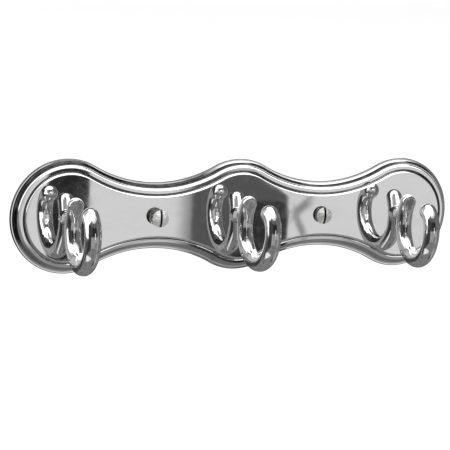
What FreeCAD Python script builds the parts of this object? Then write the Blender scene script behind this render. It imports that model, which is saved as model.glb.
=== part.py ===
import FreeCAD, Part
import math
import os
import Sketcher
from FreeCAD import Vector

# Three-hook wall rack: scalloped hollow-cast plate, three bent-rod hooks and their screws.
#
# Frame: X along the plate to the right, Z up, the front faces -Y.  The origin is the middle of
# the plate's back face, which lies on the wall.  Millimetres.

SHEET_NAME = "Dims"

DIMENSIONS = [
    # plate outline: three lobes and four hollow waists
    ("end_centre", 95.5),
    ("lobe_radius", 30.0),
    ("waist_centre", 47.5),
    ("waist_height", 17.5),
    ("crown_height", 29.7),
    # plate section, from the wall outwards
    ("lip_thickness", 1.3),
    ("lip_width", 1.0),
    ("lip_round", 0.5),
    ("cove_radius", 2.8),
    ("cove_start", 25.0),
    ("bead_radius", 1.6),
    ("bead_flat", 1.2),
    ("quirk_radius", 0.9),
    ("quirk_turn", 75.0),
    ("rim_width", 7.0),
    ("field_inset", 6.4),
    ("field_height", 6.5),
    ("field_round", 1.1),
    ("cavity_inset", 4.5),
    ("cavity_depth", 3.2),
    # holes through the plate
    ("wall_hole_diameter", 5.0),
    ("wall_sink_diameter", 9.0),
    ("wall_sink_angle", 90.0),
    ("wall_boss_radius", 7.0),
    ("wall_boss_overlap", 0.5),
    ("hook_hole_radius", 2.2),
    ("nib_hole_radius", 1.0),
    ("nib_hole_depth", 1.6),
    ("nib_drop", 3.4),
    # hook: a round rod bent in arcs that run on from each other
    ("hook_pitch", 95.0),
    ("left_turn", -1.7),
    ("centre_turn", 1.5),
    ("right_turn", -3.0),
    ("rod_radius", 4.25),
    ("bend_radius", 17.5),
    ("bend_reach", 22.4),
    ("bend_drop", 3.2),
    ("back_radius", 20.2),
    ("back_turn", 33.4),
    ("front_lift", 8.4),
    ("tip_radius", 10.2),
    ("tip_turn", 58.8),
    ("knob_radius", 4.45),
    ("flat_low_reach", 10.0),
    ("flat_low_height", 2.0),
    ("flat_top_reach", 11.2),
    ("flat_top_height", 14.0),
    ("flat_cut_reach", 18.0),
    ("boss_radius", 4.9),
    ("boss_length", 5.0),
    ("tapped_radius", 2.05),
    ("tapped_depth", 5.6),
    ("nib_radius", 0.9),
    ("nib_length", 1.3),
    # screw that holds each hook from behind, and its washer
    ("hook_screw_radius", 2.0),
    ("hook_screw_length", 8.0),
    ("hook_head_radius", 3.9),
    ("hook_head_height", 2.2),
    ("hook_slot_width", 1.2),
    ("hook_slot_depth", 1.0),
    ("washer_radius", 4.3),
    ("washer_bore", 2.15),
    ("washer_thickness", 0.8),
    # raised countersunk wall screws, standing a little proud of the plate
    ("wall_head_radius", 4.45),
    ("wall_dome_height", 1.5),
    ("wall_cone_height", 2.2),
    ("wall_shank_radius", 2.0),
    ("wall_shank_end", 11.4),
    ("wall_thread_radius", 2.25),
    ("wall_screw_length", 40.0),
    ("wall_point_length", 6.0),
    ("wall_slot_width", 1.2),
    ("wall_slot_depth", 1.5),
    ("left_stand_off", 4.8),
    ("right_stand_off", 2.4),
]
DIM = dict(DIMENSIONS)

# the three hook places and the two wall-screw places, as multiples of their pitch along X
HOOK_PLACES = {"left": -1, "centre": 0, "right": 1}
WALL_SCREW_PLACES = {"left": -1, "right": 1}

START, END, CENTRE = 1, 2, 3
ORIGIN_POINT = (-1, 1)
X_AXIS, Y_AXIS = -1, -2

TINY = 1e-9          # a coordinate this small is on the axis
FLAT_TOLERANCE = 1e-4
CLEAR_RADII = 4      # a midplane cut this many radii long runs clear of both sides
ZERO = (0.0, None)   # a coordinate on the axis: its number, and no expression


def ref(alias):
    """The sheet cell of a driving dimension, as text for an expression."""
    return f"{SHEET_NAME}.{alias}"


def cell(alias):
    """A driving dimension as a pair: its number and its expression."""
    return DIM[alias], ref(alias)


def minus(pair):
    return -pair[0], f"-({pair[1]})"


def plus(*pairs):
    return sum(number for number, _ in pairs), " + ".join(f"({text})" for _, text in pairs)


def degrees(text):
    return f"({text}) * 1 deg"


def make_sheet(doc):
    sheet = doc.addObject("Spreadsheet::Sheet", SHEET_NAME)
    for row, (alias, value) in enumerate(DIMENSIONS, start=1):
        sheet.set(f"A{row}", alias)
        sheet.set(f"B{row}", str(value))
        sheet.setAlias(f"B{row}", alias)
    doc.recompute()


def make_body(doc, label):
    body = doc.addObject("PartDesign::Body", label)
    body.Label = label
    return body


def origin_plane(body, role):
    return next(f for f in body.Origin.OriginFeatures if f.Role == role)


def make_sketch(body, name, role, lift=None):
    """A sketch on one of the body's origin planes, lifted along its normal by an expression."""
    sketch = body.newObject("Sketcher::SketchObject", name)
    sketch.AttachmentSupport = [(origin_plane(body, role), "")]
    sketch.MapMode = "FlatFace"
    if lift:
        sketch.setExpression("AttachmentOffset.Base.z", lift)
    return sketch


def bind(sketch, kind, *place, value, to):
    """Add a dimension to a sketch and bind it to an expression."""
    index = sketch.addConstraint(Sketcher.Constraint(kind, *place, value))
    sketch.setExpression(f"Constraints[{index}]", to)


def locate(sketch, point, at, to):
    """Fix a point of a sketch by its two distances from the sketch's origin."""
    for kind, axis, value, expression in (("DistanceX", Y_AXIS, at[0], to[0]),
                                          ("DistanceY", X_AXIS, at[1], to[1])):
        if abs(value) < TINY:
            sketch.addConstraint(Sketcher.Constraint("PointOnObject", *point, axis))
        else:
            bind(sketch, kind, *ORIGIN_POINT, *point, value=value, to=expression)


def arc(centre, radius, start, end):
    """A circular arc from its centre, radius and two angles in degrees."""
    circle = Part.Circle(Vector(centre[0], centre[1], 0), Vector(0, 0, 1), radius)
    return Part.ArcOfCircle(circle, math.radians(start), math.radians(end))


def line(start, end):
    return Part.LineSegment(Vector(*start, 0), Vector(*end, 0))


def waist_radius():
    """Radius of the hollow arc that just touches the end lobe, as a number and an expression."""
    run = DIM["end_centre"] - DIM["waist_centre"]
    low, lobe = DIM["waist_height"], DIM["lobe_radius"]
    number = (run ** 2 + low ** 2 - lobe ** 2) / (2 * (lobe - low))
    run_text = f"({ref('end_centre')} - {ref('waist_centre')})"
    text = (f"(({run_text}^2 + {ref('waist_height')}^2 - {ref('lobe_radius')}^2)"
            f" / (2 * ({ref('lobe_radius')} - {ref('waist_height')})))")
    return number, text


def crown_centre_height():
    """Height of the middle lobe's centre, where its arc just touches both waists."""
    radius, _ = waist_radius()
    rise = DIM["crown_height"] - DIM["waist_height"]
    crown_radius = (DIM["waist_centre"] ** 2 + rise ** 2) / (2 * rise) - radius
    return DIM["crown_height"] - crown_radius


def quarter_outline(body, name, inset_alias=None, closed=True):
    """A quarter of the plate's outline, from the crown to the right end, moved in by an inset."""
    sketch = make_sketch(body, name, "XZ_Plane")
    inset = DIM[inset_alias] if inset_alias else 0.0
    less = f" - {ref(inset_alias)}" if inset_alias else ""
    waist, waist_text = waist_radius()
    crown = (0.0, crown_centre_height())
    hollow = (DIM["waist_centre"], DIM["waist_height"] + waist)
    lobe = (DIM["end_centre"], 0.0)
    up_to_hollow = math.degrees(math.atan2(hollow[1] - crown[1], hollow[0]))
    lobe_to_hollow = math.degrees(math.atan2(hollow[1], hollow[0] - lobe[0]))
    crown_top = DIM["crown_height"] - inset
    sketch.addGeometry([
        arc(crown, crown_top - crown[1], up_to_hollow, 90),
        arc(hollow, waist + inset, up_to_hollow + 180, lobe_to_hollow + 180),
        arc(lobe, DIM["lobe_radius"] - inset, 0, lobe_to_hollow),
    ], False)
    sketch.addConstraint([
        Sketcher.Constraint("Tangent", 0, START, 1, START),
        Sketcher.Constraint("Tangent", 1, END, 2, END),
        Sketcher.Constraint("PointOnObject", 0, CENTRE, Y_AXIS),
        Sketcher.Constraint("PointOnObject", 2, START, X_AXIS),
    ])
    bind(sketch, "Radius", 2, value=DIM["lobe_radius"] - inset, to=ref("lobe_radius") + less)
    locate(sketch, (2, CENTRE), lobe, (ref("end_centre"), None))
    locate(sketch, (1, CENTRE), hollow, (ref("waist_centre"), f"{ref('waist_height')} + {waist_text}"))
    locate(sketch, (0, END), (0.0, crown_top), (None, ref("crown_height") + less))
    if closed:
        sketch.addGeometry([
            line((DIM["end_centre"] + DIM["lobe_radius"] - inset, 0), (0, 0)),
            line((0, 0), (0, crown_top)),
        ], False)
        sketch.addConstraint([
            Sketcher.Constraint("Coincident", 2, START, 3, START),
            Sketcher.Constraint("Coincident", 3, END, 4, START),
            Sketcher.Constraint("Coincident", 3, END, *ORIGIN_POINT),
            Sketcher.Constraint("Coincident", 4, END, 0, END),
        ])
    return sketch


def cove_centre():
    """Centre of the cove's arc as (height from the wall, inset from the edge), with expressions."""
    slant = math.radians(DIM["cove_start"])
    slant_text = f"({ref('cove_start')} * 1 deg)"
    height = (DIM["lip_thickness"] + DIM["cove_radius"] * math.cos(slant),
              f"({ref('lip_thickness')} + {ref('cove_radius')} * cos{slant_text})")
    inset = (DIM["lip_width"] - DIM["cove_radius"] * math.sin(slant),
             f"({ref('lip_width')} - {ref('cove_radius')} * sin{slant_text})")
    return height, inset


def rim_section(body):
    """Cove, flat-topped bead and quirk of the rim, drawn above the crown where the sweep starts."""
    sketch = make_sketch(body, "rim_section", "YZ_Plane")
    top, root = DIM["crown_height"], DIM["lip_thickness"] / 2
    (height, height_text), (inset, inset_text) = cove_centre()
    cove = (-height, top - inset)
    bead = (-height, cove[1] - DIM["cove_radius"] - DIM["bead_radius"])
    quirk_turn = math.radians(DIM["quirk_turn"])
    quirk = (bead[0] - DIM["bead_radius"] + DIM["quirk_radius"], bead[1] - DIM["bead_flat"])
    quirk_end = (quirk[0] - DIM["quirk_radius"] * math.cos(quirk_turn),
                 quirk[1] - DIM["quirk_radius"] * math.sin(quirk_turn))
    inner = top - DIM["rim_width"]
    lip_edge = (-DIM["lip_thickness"], top - DIM["lip_width"])
    crest = bead[0] - DIM["bead_radius"]
    sketch.addGeometry([
        arc(cove, DIM["cove_radius"], 270, 360 - DIM["cove_start"]),
        arc(bead, DIM["bead_radius"], 90, 180),
        line((crest, bead[1]), (crest, quirk[1])),
        arc(quirk, DIM["quirk_radius"], 180, 180 + DIM["quirk_turn"]),
        line(quirk_end, (quirk_end[0], inner)),
        line((quirk_end[0], inner), (-root, inner)),
        line((-root, inner), (-root, lip_edge[1])),
        line((-root, lip_edge[1]), lip_edge),
    ], False)
    sketch.addConstraint([
        Sketcher.Constraint("Tangent", 0, START, 1, START),
        Sketcher.Constraint("Tangent", 1, END, 2, START),
        Sketcher.Constraint("Tangent", 2, END, 3, START),
        Sketcher.Constraint("Coincident", 3, END, 4, START),
        Sketcher.Constraint("Coincident", 4, END, 5, START),
        Sketcher.Constraint("Coincident", 5, END, 6, START),
        Sketcher.Constraint("Coincident", 6, END, 7, START),
        Sketcher.Constraint("Coincident", 7, END, 0, END),
        Sketcher.Constraint("Vertical", 2),
        Sketcher.Constraint("Vertical", 4),
        Sketcher.Constraint("Horizontal", 5),
        Sketcher.Constraint("Vertical", 6),
        Sketcher.Constraint("Horizontal", 7),
        Sketcher.Constraint("Vertical", 0, CENTRE, 1, CENTRE),
    ])
    for index, alias in ((0, "cove_radius"), (1, "bead_radius"), (3, "quirk_radius")):
        bind(sketch, "Radius", index, value=DIM[alias], to=ref(alias))
    bind(sketch, "Angle", 0, value=math.radians(90 - DIM["cove_start"]),
         to=degrees(f"90 - {ref('cove_start')}"))
    bind(sketch, "Angle", 3, value=quirk_turn, to=degrees(ref("quirk_turn")))
    bind(sketch, "Distance", 2, value=DIM["bead_flat"], to=ref("bead_flat"))
    locate(sketch, (0, CENTRE), cove, (f"-{height_text}", f"{ref('crown_height')} - {inset_text}"))
    locate(sketch, (5, END), (-root, inner),
           (f"-{ref('lip_thickness')} / 2", f"{ref('crown_height')} - {ref('rim_width')}"))
    return sketch


def extrude(body, kind, name, sketch, length, reverse=False, midplane=False):
    """A Pad or Pocket whose length is bound to an expression."""
    feature = body.newObject(f"PartDesign::{kind}", name)
    feature.Profile = sketch
    feature.setExpression("Length", length)
    feature.Reversed = reverse
    feature.Midplane = midplane
    return feature


def mirror_both_ways(body, name, originals):
    """Repeat quarter features in all four quarters of the plate."""
    doc = body.Document
    quarters = body.newObject("PartDesign::MultiTransform", name)
    quarters.Originals = originals
    mirrors = []
    for role in ("YZ_Plane", "XY_Plane"):
        mirror = doc.addObject("PartDesign::Mirrored", f"{name}_{role[:2].lower()}")
        mirror.MirrorPlane = (origin_plane(body, role), [""])
        mirrors.append(mirror)
    quarters.Transformations = mirrors
    body.Tip = quarters
    return quarters


def outer_edges(feature, depth):
    """Names of the edges around the flat face in the plane y = -depth."""
    shape = feature.Shape
    for face in shape.Faces:
        box = face.BoundBox
        if abs(box.YMin + depth) < FLAT_TOLERANCE and abs(box.YMax + depth) < FLAT_TOLERANCE:
            rim = face.OuterWire.Edges
            return [f"Edge{index}" for index, edge in enumerate(shape.Edges, start=1)
                    if any(edge.isSame(other) for other in rim)]
    raise ValueError(f"no flat face at depth {depth}")


def round_edges(body, name, base, depth, radius_alias):
    fillet = body.newObject("PartDesign::Fillet", name)
    fillet.Base = (base, outer_edges(base, depth))
    fillet.setExpression("Radius", ref(radius_alias))
    body.Document.recompute()
    return fillet


def circles(sketch, centres, radius, radius_text):
    """Equal circles at points given as ((x, x text), (y, y text))."""
    for index, ((x, x_text), (y, y_text)) in enumerate(centres):
        sketch.addGeometry(Part.Circle(Vector(x, y, 0), Vector(0, 0, 1), radius), False)
        bind(sketch, "Radius", index, value=radius, to=radius_text)
        if abs(x) + abs(y) < TINY:
            sketch.addConstraint(Sketcher.Constraint("Coincident", index, CENTRE, *ORIGIN_POINT))
        else:
            locate(sketch, (index, CENTRE), (x, y), (x_text, y_text))


def lowered(drop_alias=None):
    """A height on the plate's middle line, or below it by a drop if one is given."""
    return minus(cell(drop_alias)) if drop_alias else ZERO


def along_x(places, alias, drop_alias=None):
    """Circle centres at multiples of a pitch along X."""
    return [((step * DIM[alias], f"{step} * {ref(alias)}"), lowered(drop_alias))
            for step in places.values()]


def make_plate(doc):
    body = make_body(doc, "back_plate")
    lip = extrude(body, "Pad", "lip", quarter_outline(body, "lip_outline"), ref("lip_thickness"))
    field = extrude(body, "Pad", "field", quarter_outline(body, "field_outline", "field_inset"),
                    ref("field_height"))
    slab = mirror_both_ways(body, "slab", [lip, field])
    doc.recompute()
    field_edge = round_edges(body, "field_edge", slab, DIM["field_height"], "field_round")
    round_edges(body, "lip_edge", field_edge, DIM["lip_thickness"], "lip_round")

    rim = body.newObject("PartDesign::AdditivePipe", "rim")
    rim.Profile = rim_section(body)
    rim.Spine = quarter_outline(body, "rim_path", closed=False)
    rim.Mode = "Frenet"
    mirror_both_ways(body, "rim_all_round", [rim])
    doc.recompute()

    cavity = extrude(body, "Pocket", "cavity", quarter_outline(body, "cavity_outline", "cavity_inset"),
                     ref("cavity_depth"), reverse=True)
    mirror_both_ways(body, "cavity_all_round", [cavity])
    doc.recompute()

    bosses = make_sketch(body, "wall_boss_places", "XZ_Plane")
    circles(bosses, along_x(WALL_SCREW_PLACES, "waist_centre"), DIM["wall_boss_radius"],
            ref("wall_boss_radius"))
    extrude(body, "Pad", "wall_bosses", bosses, f"{ref('cavity_depth')} + {ref('wall_boss_overlap')}")
    doc.recompute()

    cut_wall_holes(body)
    cut_hook_seats(body)
    return body


def cut_wall_holes(body):
    """Countersunk clearance holes for the wall screws, from the front."""
    sketch = make_sketch(body, "wall_hole_places", "XZ_Plane", ref("field_height"))
    circles(sketch, along_x(WALL_SCREW_PLACES, "waist_centre"), DIM["wall_hole_diameter"] / 2,
            f"{ref('wall_hole_diameter')} / 2")
    body.Document.recompute()
    hole = body.newObject("PartDesign::Hole", "wall_holes")
    hole.Profile = sketch
    hole.DepthType = "ThroughAll"
    hole.Threaded = False
    hole.setExpression("Diameter", ref("wall_hole_diameter"))
    hole.HoleCutType = "Countersink"
    hole.HoleCutCustomValues = True
    hole.setExpression("HoleCutCountersinkAngle", degrees(ref("wall_sink_angle")))
    hole.setExpression("HoleCutDiameter", ref("wall_sink_diameter"))
    body.Document.recompute()


def cut_hook_seats(body):
    """Screw clearance hole and locating-nib hole under each hook."""
    holes = make_sketch(body, "hook_hole_places", "XZ_Plane", ref("field_height"))
    circles(holes, along_x(HOOK_PLACES, "hook_pitch"), DIM["hook_hole_radius"], ref("hook_hole_radius"))
    extrude(body, "Pocket", "hook_holes", holes, ref("field_height"))
    nibs = make_sketch(body, "nib_hole_places", "XZ_Plane", ref("field_height"))
    circles(nibs, along_x(HOOK_PLACES, "hook_pitch", "nib_drop"), DIM["nib_hole_radius"],
            ref("nib_hole_radius"))
    extrude(body, "Pocket", "nib_holes", nibs, ref("nib_hole_depth"))
    body.Document.recompute()


def hook_turn(side):
    """Expression for how far a hook's plane is turned about the upright line through its seat."""
    return f"({ref(f'{side}_turn')} * 1 deg)"


def make_turned_sketch(body, name, side):
    """A sketch in the plane of a hook's bends, turned with that hook."""
    sketch = make_sketch(body, name, "YZ_Plane")
    sketch.AttachmentOffset = FreeCAD.Placement(
        Vector(0, 0, 0), FreeCAD.Rotation(Vector(0, 1, 0), DIM[f"{side}_turn"]))
    sketch.setExpression("AttachmentOffset.Rotation.Angle", hook_turn(side))
    sketch.setExpression("AttachmentOffset.Base.x", f"-{ref('field_height')} * (1 - cos{hook_turn(side)})")
    sketch.setExpression("AttachmentOffset.Base.z", f"-{ref('field_height')} * sin{hook_turn(side)}")
    return sketch


def rod_path(body, side):
    """Centre line of the hook's rod: back leg, main bend, curled front leg."""
    sketch = make_turned_sketch(body, "rod_path", side)
    bend, back, tip = DIM["bend_radius"], DIM["back_radius"], DIM["tip_radius"]
    middle = (-DIM["field_height"] - DIM["bend_reach"], -DIM["bend_drop"])
    back_centre = (middle[0] + bend - back, middle[1])
    lift = math.radians(DIM["front_lift"])
    tip_centre = (middle[0] - (bend - tip) * math.cos(lift), middle[1] + (bend - tip) * math.sin(lift))
    front = 180 - DIM["front_lift"]
    sketch.addGeometry([
        arc(back_centre, back, 0, DIM["back_turn"]),
        arc(middle, bend, front, 360),
        arc(tip_centre, tip, front - DIM["tip_turn"], front),
    ], False)
    sketch.addConstraint([
        Sketcher.Constraint("Tangent", 0, START, 1, END),
        Sketcher.Constraint("Tangent", 1, START, 2, END),
        Sketcher.Constraint("Horizontal", 1, CENTRE, 0, CENTRE),
    ])
    for index, alias in enumerate(("back_radius", "bend_radius", "tip_radius")):
        bind(sketch, "Radius", index, value=DIM[alias], to=ref(alias))
    locate(sketch, (1, CENTRE), middle,
           (f"-({ref('field_height')} + {ref('bend_reach')})", f"-{ref('bend_drop')}"))
    half_turn = (180.0, "180")
    turns = (cell("back_turn"), plus(half_turn, cell("front_lift")), cell("tip_turn"))
    for index, (angle, text) in enumerate(turns):
        bind(sketch, "Angle", index, value=math.radians(angle), to=degrees(text))
    return sketch


def rod_ends():
    """Expressions for the reach and height of the rod's two ends, where its round ends are centred."""
    back_angle = f"({ref('back_turn')} * 1 deg)"
    lift_angle = f"({ref('front_lift')} * 1 deg)"
    tip_angle = f"(({ref('front_lift')} + {ref('tip_turn')}) * 1 deg)"
    spare = f"({ref('bend_radius')} - {ref('tip_radius')})"
    top = (f"{ref('bend_reach')} - {ref('bend_radius')} + {ref('back_radius')} * (1 - cos{back_angle})",
           f"-{ref('bend_drop')} + {ref('back_radius')} * sin{back_angle}")
    tip = (f"{ref('bend_reach')} + {spare} * cos{lift_angle} + {ref('tip_radius')} * cos{tip_angle}",
           f"-{ref('bend_drop')} + {spare} * sin{lift_angle} + {ref('tip_radius')} * sin{tip_angle}")
    return top, tip


def round_end(body, name, side, place, radius_alias):
    """A ball on one end of the rod, at a reach from the plate's face and a height."""
    reach, height = place
    ball = body.newObject("PartDesign::AdditiveSphere", name)
    ball.setExpression("Radius", ref(radius_alias))
    ball.setExpression("Placement.Base.x", f"({reach}) * sin{hook_turn(side)}")
    ball.setExpression("Placement.Base.y", f"-{ref('field_height')} - ({reach}) * cos{hook_turn(side)}")
    ball.setExpression("Placement.Base.z", height)
    return ball


def polygon(sketch, corners):
    """A closed outline through corners given as ((x, x text), (y, y text))."""
    points = [(x, y) for (x, _), (y, _) in corners]
    following = points[1:] + points[:1]
    sketch.addGeometry([line(a, b) for a, b in zip(points, following)], False)
    for index in range(len(corners)):
        after = (index + 1) % len(corners)
        sketch.addConstraint(Sketcher.Constraint("Coincident", index, END, after, START))
    for index, ((x, x_text), (y, y_text)) in enumerate(corners):
        locate(sketch, (index, START), (x, y), (x_text, y_text))


def flatten_top(body, side):
    """Grind the oval flat on the front of the back leg's top."""
    sketch = make_turned_sketch(body, "flat_outline", side)
    low, high = cell("flat_low_height"), cell("flat_top_height")
    reach = {name: minus(plus(cell("field_height"), cell(f"flat_{name}_reach")))
             for name in ("low", "top", "cut")}
    polygon(sketch, [(reach["low"], low), (reach["top"], high), (reach["cut"], high),
                     (reach["cut"], low)])
    extrude(body, "Pocket", "flat", sketch, f"{CLEAR_RADII} * {ref('rod_radius')}", midplane=True)


def seat_circle(body, name, radius_alias, drop_alias=None):
    """A circle on the plate's front face, where the hook's boss stands."""
    sketch = make_sketch(body, name, "XZ_Plane", ref("field_height"))
    circles(sketch, [(ZERO, lowered(drop_alias))], DIM[radius_alias], ref(radius_alias))
    return sketch


def make_hook(doc, side, step):
    body = make_body(doc, f"hook_{side}")
    boss = seat_circle(body, "boss_outline", "boss_radius")
    extrude(body, "Pad", "boss", boss, ref("boss_length"))
    path = rod_path(body, side)
    doc.recompute()

    section = body.newObject("Sketcher::SketchObject", "rod_section")
    section.AttachmentSupport = [(path, "Edge1")]
    section.MapMode = "NormalToEdge"
    section.MapPathParameter = 1.0
    circles(section, [(ZERO, ZERO)], DIM["rod_radius"], ref("rod_radius"))
    rod = body.newObject("PartDesign::AdditivePipe", "rod")
    rod.Profile = section
    rod.Spine = path
    doc.recompute()

    top, tip = rod_ends()
    round_end(body, "top_dome", side, top, "rod_radius")
    round_end(body, "tip_knob", side, tip, "knob_radius")
    flatten_top(body, side)
    tapped = seat_circle(body, "tapped_outline", "tapped_radius")
    extrude(body, "Pocket", "tapped_hole", tapped, ref("tapped_depth"), reverse=True)
    nib = seat_circle(body, "nib_outline", "nib_radius", "nib_drop")
    extrude(body, "Pad", "nib", nib, ref("nib_length"), reverse=True)
    body.setExpression("Placement.Base.x", f"{step} * {ref('hook_pitch')}")
    doc.recompute()
    return body


def turn(body, corners, dome=None):
    """Revolve a half section about the Y axis; a dome swaps the closing edge for an arc."""
    sketch = make_sketch(body, f"{body.Label}_section", "YZ_Plane")
    if dome is None:
        polygon(sketch, corners)
    else:
        domed_section(sketch, corners, dome)
    revolution = body.newObject("PartDesign::Revolution", f"{body.Label}_turned")
    revolution.Profile = sketch
    revolution.ReferenceAxis = (sketch, ["H_Axis"])
    revolution.Angle = 360.0
    return revolution


def domed_section(sketch, corners, dome):
    """Corners from the dome's rim round to its crown on the axis, closed by the dome's arc."""
    points = [(x, y) for (x, _), (y, _) in corners]
    (_, rim), height = points[0], dome
    radius = (rim ** 2 + height ** 2) / (2 * height)
    spread = math.degrees(math.asin(rim / radius))
    sketch.addGeometry([line(a, b) for a, b in zip(points, points[1:])], False)
    sketch.addGeometry(arc((points[-1][0] + radius, 0), radius, 180 - spread, 180), False)
    last = len(points) - 1
    for index in range(last - 1):
        sketch.addConstraint(Sketcher.Constraint("Coincident", index, END, index + 1, START))
    sketch.addConstraint([
        Sketcher.Constraint("Coincident", last, START, 0, START),
        Sketcher.Constraint("Coincident", last, END, last - 1, END),
        Sketcher.Constraint("PointOnObject", last, CENTRE, X_AXIS),
    ])
    for index, ((x, x_text), (y, y_text)) in enumerate(corners[:-1]):
        locate(sketch, (index, START), (x, y), (x_text, y_text))
    (x, x_text), (y, y_text) = corners[-1]
    locate(sketch, (last - 1, END), (x, y), (x_text, y_text))


def cut_slot(body, width, floor, mouth, radius_alias):
    """A straight screwdriver slot along Z, between two depths along Y, right across a head."""
    sketch = make_sketch(body, f"{body.Label}_slot_outline", "XY_Plane")
    half = (width[0] / 2, f"({width[1]}) / 2")
    polygon(sketch, [(minus(half), floor), (half, floor), (half, mouth), (minus(half), mouth)])
    extrude(body, "Pocket", f"{body.Label}_slot", sketch, f"{CLEAR_RADII} * {ref(radius_alias)}",
            midplane=True)


def make_hook_screw(doc, side, step):
    """Slotted machine screw, head towards the wall, through the plate into the hook's boss."""
    body = make_body(doc, f"hook_screw_{side}")
    shank, head = cell("hook_screw_radius"), cell("hook_head_radius")
    tip, top = minus(cell("hook_screw_length")), cell("hook_head_height")
    turn(body, [(tip, ZERO), (top, ZERO), (top, head), (ZERO, head), (ZERO, shank), (tip, shank)])
    cut_slot(body, cell("hook_slot_width"), plus(top, minus(cell("hook_slot_depth"))),
             plus(top, cell("hook_slot_depth")), "hook_head_radius")
    body.setExpression("Placement.Base.x", f"{step} * {ref('hook_pitch')}")
    body.setExpression("Placement.Base.y", f"{ref('washer_thickness')} - {ref('cavity_depth')}")
    doc.recompute()
    return body


def make_hook_washer(doc, side, step):
    body = make_body(doc, f"hook_washer_{side}")
    sketch = make_sketch(body, f"{body.Label}_outline", "XZ_Plane")
    for index, alias in enumerate(("washer_radius", "washer_bore")):
        sketch.addGeometry(Part.Circle(Vector(0, 0, 0), Vector(0, 0, 1), DIM[alias]), False)
        sketch.addConstraint(Sketcher.Constraint("Coincident", index, CENTRE, *ORIGIN_POINT))
        bind(sketch, "Radius", index, value=DIM[alias], to=ref(alias))
    extrude(body, "Pad", f"{body.Label}_ring", sketch, ref("washer_thickness"))
    body.setExpression("Placement.Base.x", f"{step} * {ref('hook_pitch')}")
    body.setExpression("Placement.Base.y", f"{ref('washer_thickness')} - {ref('cavity_depth')}")
    doc.recompute()
    return body


def make_wall_screw(doc, side, step):
    """Slotted raised countersunk wood screw; the rim of its head stands off the plate."""
    body = make_body(doc, f"wall_screw_{side}")
    head, shank, thread = (cell(f"wall_{name}_radius") for name in ("head", "shank", "thread"))
    length, crown = cell("wall_screw_length"), minus(cell("wall_dome_height"))
    shank_end, thread_end = cell("wall_shank_end"), plus(length, minus(cell("wall_point_length")))
    cone_end = cell("wall_cone_height")
    turn(body, [(ZERO, head), (cone_end, shank), (shank_end, shank), (shank_end, thread),
                (thread_end, thread), (length, ZERO), (crown, ZERO)],
         dome=DIM["wall_dome_height"])
    cut_slot(body, cell("wall_slot_width"), plus(crown, cell("wall_slot_depth")),
             plus(crown, minus(cell("wall_slot_depth"))), "wall_head_radius")
    body.setExpression("Placement.Base.x", f"{step} * {ref('waist_centre')}")
    body.setExpression("Placement.Base.y", f"-({ref('field_height')} + {ref(f'{side}_stand_off')})")
    doc.recompute()
    return body


def group(doc, label, bodies):
    """Identical fasteners share one sub-part as separate solids."""
    compound = doc.addObject("Part::Compound", label)
    compound.Label = label
    compound.Links = bodies
    return compound


def check(doc, parts):
    """Stop before writing anything if any object or sub-part is unsound."""
    for item in doc.Objects:
        if "Invalid" in item.State or "Error" in item.State:
            raise RuntimeError(f"{item.Label}: {item.State}")
    for part in parts:
        shape = part.Shape
        if shape.isNull() or not shape.isValid():
            raise RuntimeError(f"{part.Label}: bad shape")
        print(f"{part.Label}: {len(shape.Solids)} solid(s), {shape.Volume / 1000:.2f} cm3")


def main():
    doc = FreeCAD.newDocument("wall_hook_rack")
    make_sheet(doc)
    parts = [make_plate(doc)]
    parts += [make_hook(doc, side, step) for side, step in HOOK_PLACES.items()]
    fasteners = (
        ("hook_screws", make_hook_screw, HOOK_PLACES),
        ("hook_washers", make_hook_washer, HOOK_PLACES),
        ("wall_screws", make_wall_screw, WALL_SCREW_PLACES),
    )
    for label, maker, places in fasteners:
        parts.append(group(doc, label, [maker(doc, side, step) for side, step in places.items()]))
    doc.recompute()
    check(doc, parts)
    os.makedirs("parts", exist_ok=True)
    for part in parts:
        part.Shape.exportStep(f"parts/{part.Label}.step")


main()
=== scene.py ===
import math

import bmesh
import bpy
from mathutils import Matrix, Vector
from mathutils.geometry import tessellate_polygon


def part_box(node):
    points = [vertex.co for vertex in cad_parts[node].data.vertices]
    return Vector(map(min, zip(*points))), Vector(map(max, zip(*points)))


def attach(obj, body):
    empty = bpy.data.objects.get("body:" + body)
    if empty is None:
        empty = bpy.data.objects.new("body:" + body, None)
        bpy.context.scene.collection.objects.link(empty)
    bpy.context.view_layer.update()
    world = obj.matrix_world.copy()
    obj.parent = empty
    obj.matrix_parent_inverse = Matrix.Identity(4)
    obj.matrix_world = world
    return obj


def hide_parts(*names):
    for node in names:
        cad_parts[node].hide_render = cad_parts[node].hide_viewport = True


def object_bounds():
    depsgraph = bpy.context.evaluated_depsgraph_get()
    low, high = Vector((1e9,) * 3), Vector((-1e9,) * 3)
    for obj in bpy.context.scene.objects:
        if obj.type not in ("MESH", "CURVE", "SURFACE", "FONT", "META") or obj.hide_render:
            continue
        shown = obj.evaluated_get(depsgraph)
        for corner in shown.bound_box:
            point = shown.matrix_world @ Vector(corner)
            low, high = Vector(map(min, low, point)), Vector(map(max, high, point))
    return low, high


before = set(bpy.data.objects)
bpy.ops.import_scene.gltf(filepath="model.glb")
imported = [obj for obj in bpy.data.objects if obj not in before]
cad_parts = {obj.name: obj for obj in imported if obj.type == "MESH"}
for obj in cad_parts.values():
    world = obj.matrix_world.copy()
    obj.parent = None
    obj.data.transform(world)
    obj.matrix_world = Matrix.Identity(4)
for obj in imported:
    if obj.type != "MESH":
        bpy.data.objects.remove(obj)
cad_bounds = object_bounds()

MM = 0.001
SIDES = ("left", "centre", "right")

# ---- sizes of the rack in millimetres: those of the CAD model, and of the threads and the small rounded
# edges that it leaves out. The hooks' hidden locating nibs and their holes are in the CAD model only.

END_CENTRE = 95.5
LOBE_RADIUS = 30.0
WAIST_CENTRE = 47.5
WAIST_HEIGHT = 17.5
CROWN_HEIGHT = 29.7

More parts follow.
